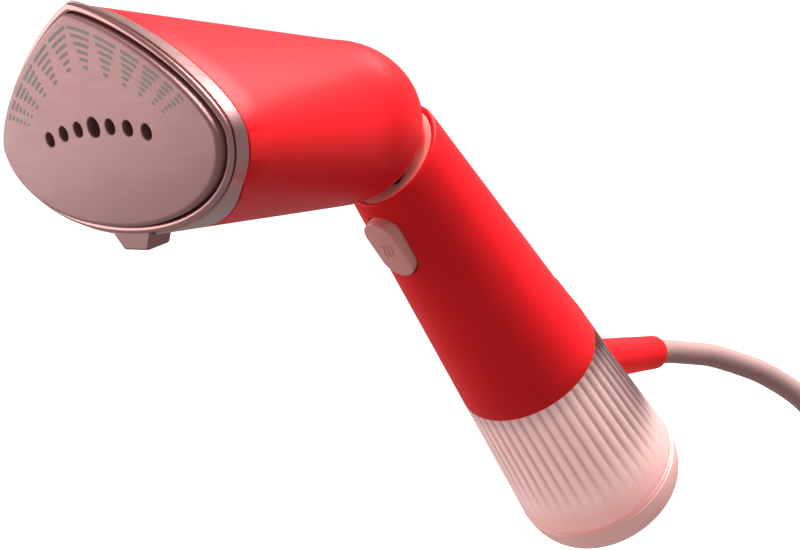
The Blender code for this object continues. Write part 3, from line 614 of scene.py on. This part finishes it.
def bezel(looks):
    """The rose metal frame: a lip round the soleplate, a fine dark line, and the wide band behind it."""
    lip = [(2.2, 2.6), (2.2, 1.0), (2.08, 0.74), (1.8, 0.55)]
    lip += [(1.4, 0.46), (1.0, 0.5), (0.72, 0.62), (0.5, 0.82)]
    line = [(0.38, 1.1), (0.34, 1.3), (0.7, 1.38), (0.7, 1.62), (0.16, 1.7), (0.03, 1.9)]
    rings = [plate_ring(inset, depth) for inset, depth in lip + line]
    rear = band_share(-SEAM)
    start = 0.03
    rings += [skin_ring(start + (rear - start) * t) for t in np.linspace(0, 1, 6)[:-1]]
    rings += [skin_ring(band_share(-SEAM - 0.12)), skin_ring(band_share(-SEAM, 0.15), 0.15)]
    rings += [skin_ring(band_share(-SEAM, 1.7), 1.7), plate_ring(1.7, 2.9)]
    frame_skin = loft("bezel_skin", rings, cyclic=True)
    fit(frame_skin, HEAD, "head", "rose_metal", looks["rose_band"], "bezel")
    foot = [(-8.0, -21.4), (-7.4, -22.6), (-4.8, -26.2), (4.8, -26.2), (7.4, -22.6), (8.0, -21.4)]
    tab = bevel(prism("bezel_tab", foot, 0.9, 7.4, "X"), 0.5, 3, 25)
    fit(tab, PLATE, "head", "rose_metal", looks["rose_metal"])


def hole_places():
    """Each steam hole's place across the plate, its level on the row's shallow arch, and its radius."""
    for i in range(-HOLES_EACH_SIDE, HOLES_EACH_SIDE + 1):
        across = i * HOLE_PITCH
        level = HOLE_LEVEL - across * across / (2 * HOLE_ARCH_R)
        yield across, level, MIDDLE_HOLE_R if i == 0 else HOLE_R


def soleplate(looks):
    """The plate with a bright bevel round its face and seven countersunk steam holes."""
    edge = [(2.5, 3.0), (2.5, -0.6), (2.6, -0.85), (2.85, -1.05), (3.2, -1.16), (3.7, -1.2)]
    plate = loft("soleplate_skin", [plate_ring(inset, depth) for inset, depth in edge], angle=12)
    for i, (across, level, radius) in enumerate(hole_places()):
        profile = [(0, -3.0), (radius + 2.4, -3.0), (radius + 0.32, -1.21), (radius + 0.1, -1.0)]
        profile += [(radius, 0.1), (radius, 6.0), (0, 6.0)]
        drill = turned(f"drill_{i}", profile, 40)
        drill.data.transform(Matrix.Rotation(math.pi / 2, 4, "Y"))
        drill.data.transform(Matrix.Translation((0, across, level)))
        drill.data.transform(Matrix.Rotation(-PLATE_TILT, 4, "Y"))
        carve(plate, drill)
    fit(plate, HEAD, "head", "rose_metal", looks["rose_metal"], "soleplate")


def upper_edge(inset, side):
    """Points down one upper edge of the outline, from the peak, and their distance along it."""
    half, up = PLATE_HALF_WIDTH - inset, PLATE_UP - PEAK_INSET * inset
    v = 1 - np.linspace(0, 1, 500)[1:] ** 2 * 0.97
    points = np.stack([side * half * (1 - v**PLATE_PEAK) ** (1 / PLATE_ROUND), up * v], axis=1)
    return points, np.concatenate([[0], np.cumsum(np.linalg.norm(np.diff(points, axis=0), axis=1))])


def dash(bm, points, along, start, end, wide):
    """A printed stroke with round ends that follows an edge line between two distances."""
    stops = np.linspace(start, end, 6)
    middle = [np.array([np.interp(stop, along, points[:, i]) for i in (0, 1)]) for stop in stops]
    tangent = [b - a for a, b in zip(middle, middle[1:])]
    tangent = [t / np.linalg.norm(t) for t in tangent + tangent[-1:]]
    left = [m + wide / 2 * np.array([-t[1], t[0]]) for m, t in zip(middle, tangent)]
    right = [m - wide / 2 * np.array([-t[1], t[0]]) for m, t in zip(middle, tangent)]
    nose = middle[-1] + tangent[-1] * wide / 2
    tail = middle[0] - tangent[0] * wide / 2
    rim = left + [nose] + right[::-1] + [tail]
    rows = [[bm.verts.new((depth, point[0], point[1])) for point in rim] for depth in (-1.22, -1.1)]
    for i in range(len(rim)):
        j = (i + 1) % len(rim)
        bm.faces.new((rows[0][i], rows[0][j], rows[1][j], rows[1][i]))
    bm.faces.new(rows[0])
    bm.faces.new(rows[1][::-1])


def plate_pattern(looks):
    """Grey printed strokes in six nested rows along both upper edges, shorter inwards and downwards."""
    bm = bmesh.new()
    for side in (-1, 1):
        outer = upper_edge(ROW_INSET, side)[1][-1]
        for row in range(STROKE_ROWS):
            points, along = upper_edge(ROW_INSET + ROW_PITCH * row, side)
            reach = along[-1] / outer
            centre = 0.7
            for long in STROKE_LENGTHS:
                centre += long / 2
                stroke = max(0.35, long * (1 - 0.15 * row) * reach)
                middle = centre * reach
                dash(bm, points, along, middle - stroke / 2, middle + stroke / 2, STROKE_WIDE)
                centre += long / 2 + STROKE_GAP
    bmesh.ops.recalc_face_normals(bm, faces=bm.faces)
    data = bpy.data.meshes.new("plate_pattern")
    bm.to_mesh(data)
    bm.free()
    obj = bpy.data.objects.new("plate_pattern", data)
    bpy.context.scene.collection.objects.link(obj)
    fit(obj, PLATE, "head", "rose_metal", looks["ink"])


# ------------------------------------------------------------------ handle

PHI = np.linspace(0, math.tau, 192, endpoint=False)


def handle_radius(down):
    return HANDLE_R0 + HANDLE_TAPER * down


def rim_level(lowered=0.0):
    """The mouth's height at each angle, on the outside of the handle."""
    level = np.full(len(PHI), RIM_LEVEL)
    for _ in range(20):
        level = RIM_LEVEL - lowered + RIM_TILT * handle_radius(-level) * np.cos(PHI)
    return level


def handle_ring(radius, level):
    """A ring of points with a radius and a height for each angle."""
    radius, level = np.broadcast_to(radius, PHI.shape), np.broadcast_to(level, PHI.shape)
    return np.stack([radius * np.cos(PHI), radius * np.sin(PHI), level], axis=1)


def cup_radius(level, ball):
    """How far from the handle's axis a ball about the tilt axis reaches, at each angle and height."""
    towards = HINGE.x * np.cos(PHI)
    inside = towards**2 - HINGE.x**2 - (level - HINGE.z) ** 2 + ball**2
    return towards + np.sqrt(np.maximum(inside, 0.0))


def handle_skin(looks):
    """The red tube from the rounded lip of its oblique mouth to the tank, with the trigger's window."""
    rim = rim_level()
    foot = [(2.4, 0.0), (0.3, 0.0), (0.09, 0.09), (0.0, 0.3)]
    rings = [handle_ring(handle_radius(HANDLE_END) - inset, up - HANDLE_END) for inset, up in foot]
    for t in np.linspace(0, 1, 18)[1:]:
        level = 0.3 - HANDLE_END + (rim - LIP_R + HANDLE_END - 0.3) * t
        rings.append(handle_ring(handle_radius(-level), level))
    outer = handle_radius(-rim)
    for a in np.radians((22, 45, 67, 90)):
        rings.append(handle_ring(outer - LIP_R * (1 - math.cos(a)), rim - LIP_R * (1 - math.sin(a))))
    for inset, down in ((1.05, 0.05), (1.3, 0.25), (1.45, 0.6), (1.6, 2.0), (1.9, 6.0)):
        level = rim - down
        clear = np.minimum(cup_radius(level, CUP_R) + 0.15, outer - 1.0)
        rings.append(handle_ring(np.maximum(outer - inset, clear), level))
    rings.append(handle_ring(handle_radius(30.0) - 2.4, -30.0))
    shell = loft("handle_skin", rings, cyclic=True)
    edge = stadium(TRIGGER_LONG + WINDOW_SPARE, TRIGGER_WIDE + WINDOW_SPARE)
    window = prism("window", edge, -30, -6, "X")
    window.data.transform(Matrix.Translation((0, 0, -TRIGGER_AT)))
    carve(shell, window)
    fit(shell, HANDLE, "handle", "red_shell", looks["red_shell"], "handle_shell")


def collar(looks):
    """The pink liner of the mouth: a narrow ring inside the red lip and the cup that the head turns in."""
    rim = rim_level(0.5)
    outer = handle_radius(-rim) - 1.75
    edge = 0.35
    rings = [[(0, 0, -COLLAR_DOWN)], handle_ring(handle_radius(COLLAR_DOWN) - 2.6, -COLLAR_DOWN)]
    rings.append(handle_ring(outer, rim - edge))
    for a in np.radians((30, 60, 90)):
        rings.append(handle_ring(outer - edge * (1 - math.cos(a)), rim - edge * (1 - math.sin(a))))
    inner = np.minimum(cup_radius(rim, CUP_R) + 0.3, outer - 0.5)
    rings.append(handle_ring(inner, rim))
    for down, back in ((0.12, 0.16), (0.5, 0.0)):
        inner = np.minimum(cup_radius(rim - down, CUP_R) + back, outer - 0.55)
        rings.append(handle_ring(inner, rim - down))
    hinge = np.array(HINGE)
    last = rings[-1] - hinge
    start = last / np.linalg.norm(last, axis=1, keepdims=True)
    bottom = np.array([0.0, 0.0, -CUP_DOWN]) - hinge
    end = bottom / np.linalg.norm(bottom)
    for t in np.linspace(0, 1, 10)[1:-1]:
        way = start * (1 - t) + end * t
        rings.append(hinge + CUP_R * way / np.linalg.norm(way, axis=1, keepdims=True))
    rings.append([tuple(hinge + CUP_R * end)])
    made = loft("collar_skin", rings)
    along = Vector((math.cos(math.radians(arm_way())), math.sin(math.radians(arm_way()))))
    across = Vector((-along.y, along.x)) * PASSAGE_HALF
    near, far = Vector((HINGE_X, 0)), Vector((HINGE_X, 0)) + along * PASSAGE_LONG
    passage = [tuple(near - across), tuple(far - across), tuple(far + across), tuple(near + across)]
    way = prism("arm_way", passage, -PASSAGE_SIDE, PASSAGE_SIDE, "Y")
    way.data.transform(HANDLE.inverted() @ HEAD)
    carve(made, way)
    fit(made, HANDLE, "handle", "pink_plastic", looks["pink_plastic"], "joint_collar")


def trigger(looks):
    """The button: a flat face with a softly rounded edge, and a small steam sign of three wavy lines."""
    face = handle_radius(TRIGGER_AT) + TRIGGER_PROUD
    edge = [(-11.8, 0.0), (-face + 0.7, 0.0), (-face + 0.3, 0.1), (-face + 0.08, 0.32), (-face, 0.7)]
    rings = []
    for x, inset in edge:
        slot = stadium(TRIGGER_LONG - 2 * inset, TRIGGER_WIDE - 2 * inset)
        rings.append([(x, a, b - TRIGGER_AT) for a, b in slot])
    button = loft("trigger_skin", rings)
    fit(button, HANDLE, "trigger", "pink_plastic", looks["pink_plastic"], "trigger")
    low = -TRIGGER_AT - SIGN_LONG / 2
    for i, across in enumerate((-SIGN_PITCH, 0.0, SIGN_PITCH), 1):
        wave = [
            (-face - 0.02, across + SIGN_SWAY * math.sin(math.tau * t), low + SIGN_LONG * t)
            for t in np.linspace(0, 1, 15)
        ]
        line = tube(f"trigger_sign_{i}", wave, SIGN_R, 2)
        fit(line, HANDLE, "trigger", "pink_plastic", looks["pink_plastic"])


def spine_and_gland(looks):
    """The ridge down the tank's back that carries the lead's strain relief."""
    turn = np.linspace(-math.pi / 2, math.pi / 2, 25)
    rings = []
    levels = (84.0, 92.0, HANDLE_END, 104.0, 110.0, 116.0, 122.0, 127.0, 132.0, 135.0, 138.0, 140.0, 141.0)
    for down in levels:
        clear = handle_radius(down) + SPINE_CLEAR
        near = handle_radius(down) - 1.6 if down < 98.2 else clear
        end = min(1.0, math.sqrt(max(0.0, (SPINE_END - down) / 10)))
        crown = SPINE_CROWN * (0.25 + 0.75 * end) * min(1.0, (down - 80.0) / 19.0)
        half = SPINE_HALF * (0.45 + 0.55 * end)
        arch = [(clear + crown * math.cos(a), half * math.sin(a), -down) for a in turn[1:-1]]
        rings.append([(near, -half, -down)] + arch + [(near, half, -down)])
    spine = loft("cord_spine", rings)
    fit(spine, HANDLE, "handle", "red_shell", looks["red_shell"])
    tip = arc((3.5, -2.4), 2.4, 90, 0, 7)
    waists = [(6.02, -8.0), (6.2, -14.0), (6.42, -20.0), (6.66, -28.0), (6.9, -36.0)]
    gland = turned("gland_skin", [(0, 0)] + tip + waists + [(0, -36.0)], 72)
    place = Matrix.Translation(GLAND_TIP) @ Matrix.Rotation(math.atan2(*GLAND_AIM), 4, "Y")
    gland.data.transform(place)
    faces = [(down, handle_radius(down) + SPINE_CLEAR + SEAM) for down in (80.0, 175.0)]
    block = [[(-60, -40, -d), (face, -40, -d), (face, 40, -d), (-60, 40, -d)] for d, face in faces]
    carve(gland, loft("gland_foot", block))
    fit(gland, HANDLE, "handle", "red_shell", looks["red_shell"], "cord_gland")


# ------------------------------------------------------------------ tank


def step(value, low, high):
    """A smooth step from 0 at low to 1 at high."""
    t = np.clip((value - low) / (high - low), 0, 1)
    return t * t * (3 - 2 * t)


def tank(looks):
    """The frosted tank: ribs all round that fade out above a smooth foot."""
    samples = 12
    turn = np.linspace(0, math.tau, RIBS * samples, endpoint=False)
    valley = ((1 + np.cos(turn * RIBS)) / 2) ** 2.2
    levels = np.concatenate([np.linspace(TANK_WALL_TOP, 142.0, 20), np.linspace(143.5, 149.2, 5)])
    rings, groove_shade, foot, shadow = [], [], [], []

    def ring(radius, down, mark=0.0, low=0.0, dark=0.0):
        radius = np.broadcast_to(radius, turn.shape)
        height = np.full(len(turn), -down)
        rings.append(np.stack([radius * np.cos(turn), radius * np.sin(turn), height], axis=1))
        for store, value in ((groove_shade, mark), (foot, low), (shadow, dark)):
            store.extend(np.broadcast_to(value, turn.shape))

    for radius, down in ((NECK_R, 91.8), (NECK_R, 90.0), (19.0, 90.0), (19.0, TANK_WALL_TOP)):
        ring(radius, down)
    # painted shade: the back side darker, standing for the cord's ridge seen through the wall, plus a shaded
    # band just below the mouth
    back = np.clip(np.cos(turn + 0.5), 0, 1)
    for down in levels:
        fade = 1 - step(down, 122.0, 146.0)
        dark = 1.0 * back**1.5 * (1 - step(down, 126.0, 147.0)) + 0.25 * (1 - step(down, 99.0, 107.0))
        low = step(down, 136.0, 148.0)
        # the groove mark is painted shade down in each groove
        ring(handle_radius(down) - RIB_DEEP * valley * fade, down, 0.6 * valley * fade, low, dark)
    end = handle_radius(149.7)
    inside = [(end - 0.25, 149.6), (end - 1.8, 149.7), (end - 1.9, 148.0), (21.6, 103.0), (19.6, 100.9)]
    for radius, down in inside:
        ring(radius, down, 0.0, 1.0)
    ring(NECK_R, 100.9)
    marks = {"groove_shade": groove_shade, "foot": foot, "shadow": shadow}
    body = loft("tank_skin", rings, cyclic=True, marks=marks, angle=50)
    fit(body, HANDLE, "tank", "tank_plastic", looks["tank"], "water_tank")


def tank_foot(looks):
    """The cap that closes the tank: a double line, a rounded shoulder and a slightly dished bottom."""
    top = handle_radius(TANK_RING)
    wide = top + 0.2
    lines = [(top - 3.2, -TANK_RING), (top - 0.45, -TANK_RING)]
    lines += arc((top - 0.45, -TANK_RING - 0.45), 0.45, 90, 0, 5)
    lines += [(top - 0.02, -150.85), (top - 0.4, -151.0), (top - 0.4, -151.3)]
    lines += [(top - 0.05, -151.42), (wide - 0.05, -151.6)]
    depth = TANK_END - TANK_RING - 1.8
    shoulder = [
        (TANK_END_R + (wide - TANK_END_R) * math.cos(a), -TANK_RING - 1.8 - depth * math.sin(a))
        for a in np.linspace(0, math.pi / 2, 18)
    ]
    under = [(21.0, -TANK_END - 0.05), (20.2, -TANK_END + 0.5), (0, -TANK_END + 0.4)]
    inside = [(0, -TANK_END + 2.0), (19.5, -TANK_END + 2.0), (top - 3.2, -TANK_RING - 7.0)]
    made = turned("tank_foot_skin", inside + lines + shoulder + under, 160)
    fit(made, HANDLE, "tank", "tank_plastic", looks["tank_plastic"], "tank_base")


# ------------------------------------------------------------------ CAD nodes that stay


def dress_nodes(looks):
    """Gives every CAD node the material of its slot."""
    for part in frame["record"]["subparts"]:
        data = frame["nodes"][part["node"]].data
        data.materials.clear()
        data.materials.append(looks[part["material_slot"]].material)


# ------------------------------------------------------------------ studio


def studio():
    """A white floor well below the steamer that rises into a wall all round, lit evenly by itself."""
    floor, flat, rise, top, thick = -420.0, 4000.0, 2500.0, 6000.0, 50
    bend = [
        (flat + rise * math.sin(a), floor + rise * (1 - math.cos(a)))
        for a in np.linspace(0, math.pi / 2, 16)[1:]
    ]
    inside = [(0, floor), (1000.0, floor), (flat, floor)] + bend + [(flat + rise, top)]
    outside = [(flat + rise + thick, top), (flat + rise + thick, floor - thick), (0, floor - thick)]
    sweep = to_world(turned("sweep", inside + outside), WORLD)
    paper = Shader("paper", Roughness=0.95)
    paper.colour(paper.ramp(paper.noise(3.0), (0.3, (0.93, 0.93, 0.93)), (0.7, (0.95, 0.95, 0.95))))
    paper.set(Emission_Color=(1.0, 1.0, 1.0), Emission_Strength=0.95)
    sweep.data.materials.append(paper.material)
    sweep.visible_diffuse = sweep.visible_glossy = sweep.visible_shadow = False


def light(name, at, aim, size, power):
    data = bpy.data.lights.new(name, "AREA")
    data.shape = "RECTANGLE"
    data.size, data.size_y = size
    data.energy = power
    made = bpy.data.objects.new(name, data)
    bpy.context.scene.collection.objects.link(made)
    made.location = at
    made.rotation_euler = (Vector(aim) - Vector(at)).to_track_quat("-Z", "Y").to_euler()


def lights():
    world = bpy.data.worlds.new("studio")
    world.use_nodes = True
    world.node_tree.nodes["Background"].inputs["Color"].default_value = (1, 1, 1, 1)
    world.node_tree.nodes["Background"].inputs["Strength"].default_value = 0.33
    bpy.context.scene.world = world
    middle = (-0.02, 0.0, 0.0)
    light("key", (0.4, -0.25, 1.05), middle, (1.0, 0.8), 38.0)
    light("left", (-0.62, 0.95, 0.2), middle, (0.9, 1.0), 6.0)


# ------------------------------------------------------------------ assembly


def build():
    camera()
    bpy.context.scene.view_settings.view_transform = "Standard"
    looks = slot_looks()
    looks["rose_band"] = rose_band()
    looks["ink"] = pattern_ink()
    looks["tank"] = tank_plastic()
    dress_nodes(looks)
    cord(looks)
    head_skin(looks)
    bezel(looks)
    soleplate(looks)
    plate_pattern(looks)
    handle_skin(looks)
    collar(looks)
    trigger(looks)
    spine_and_gland(looks)
    tank(looks)
    tank_foot(looks)
    studio()
    lights()


build()

bpy.context.view_layer.update()
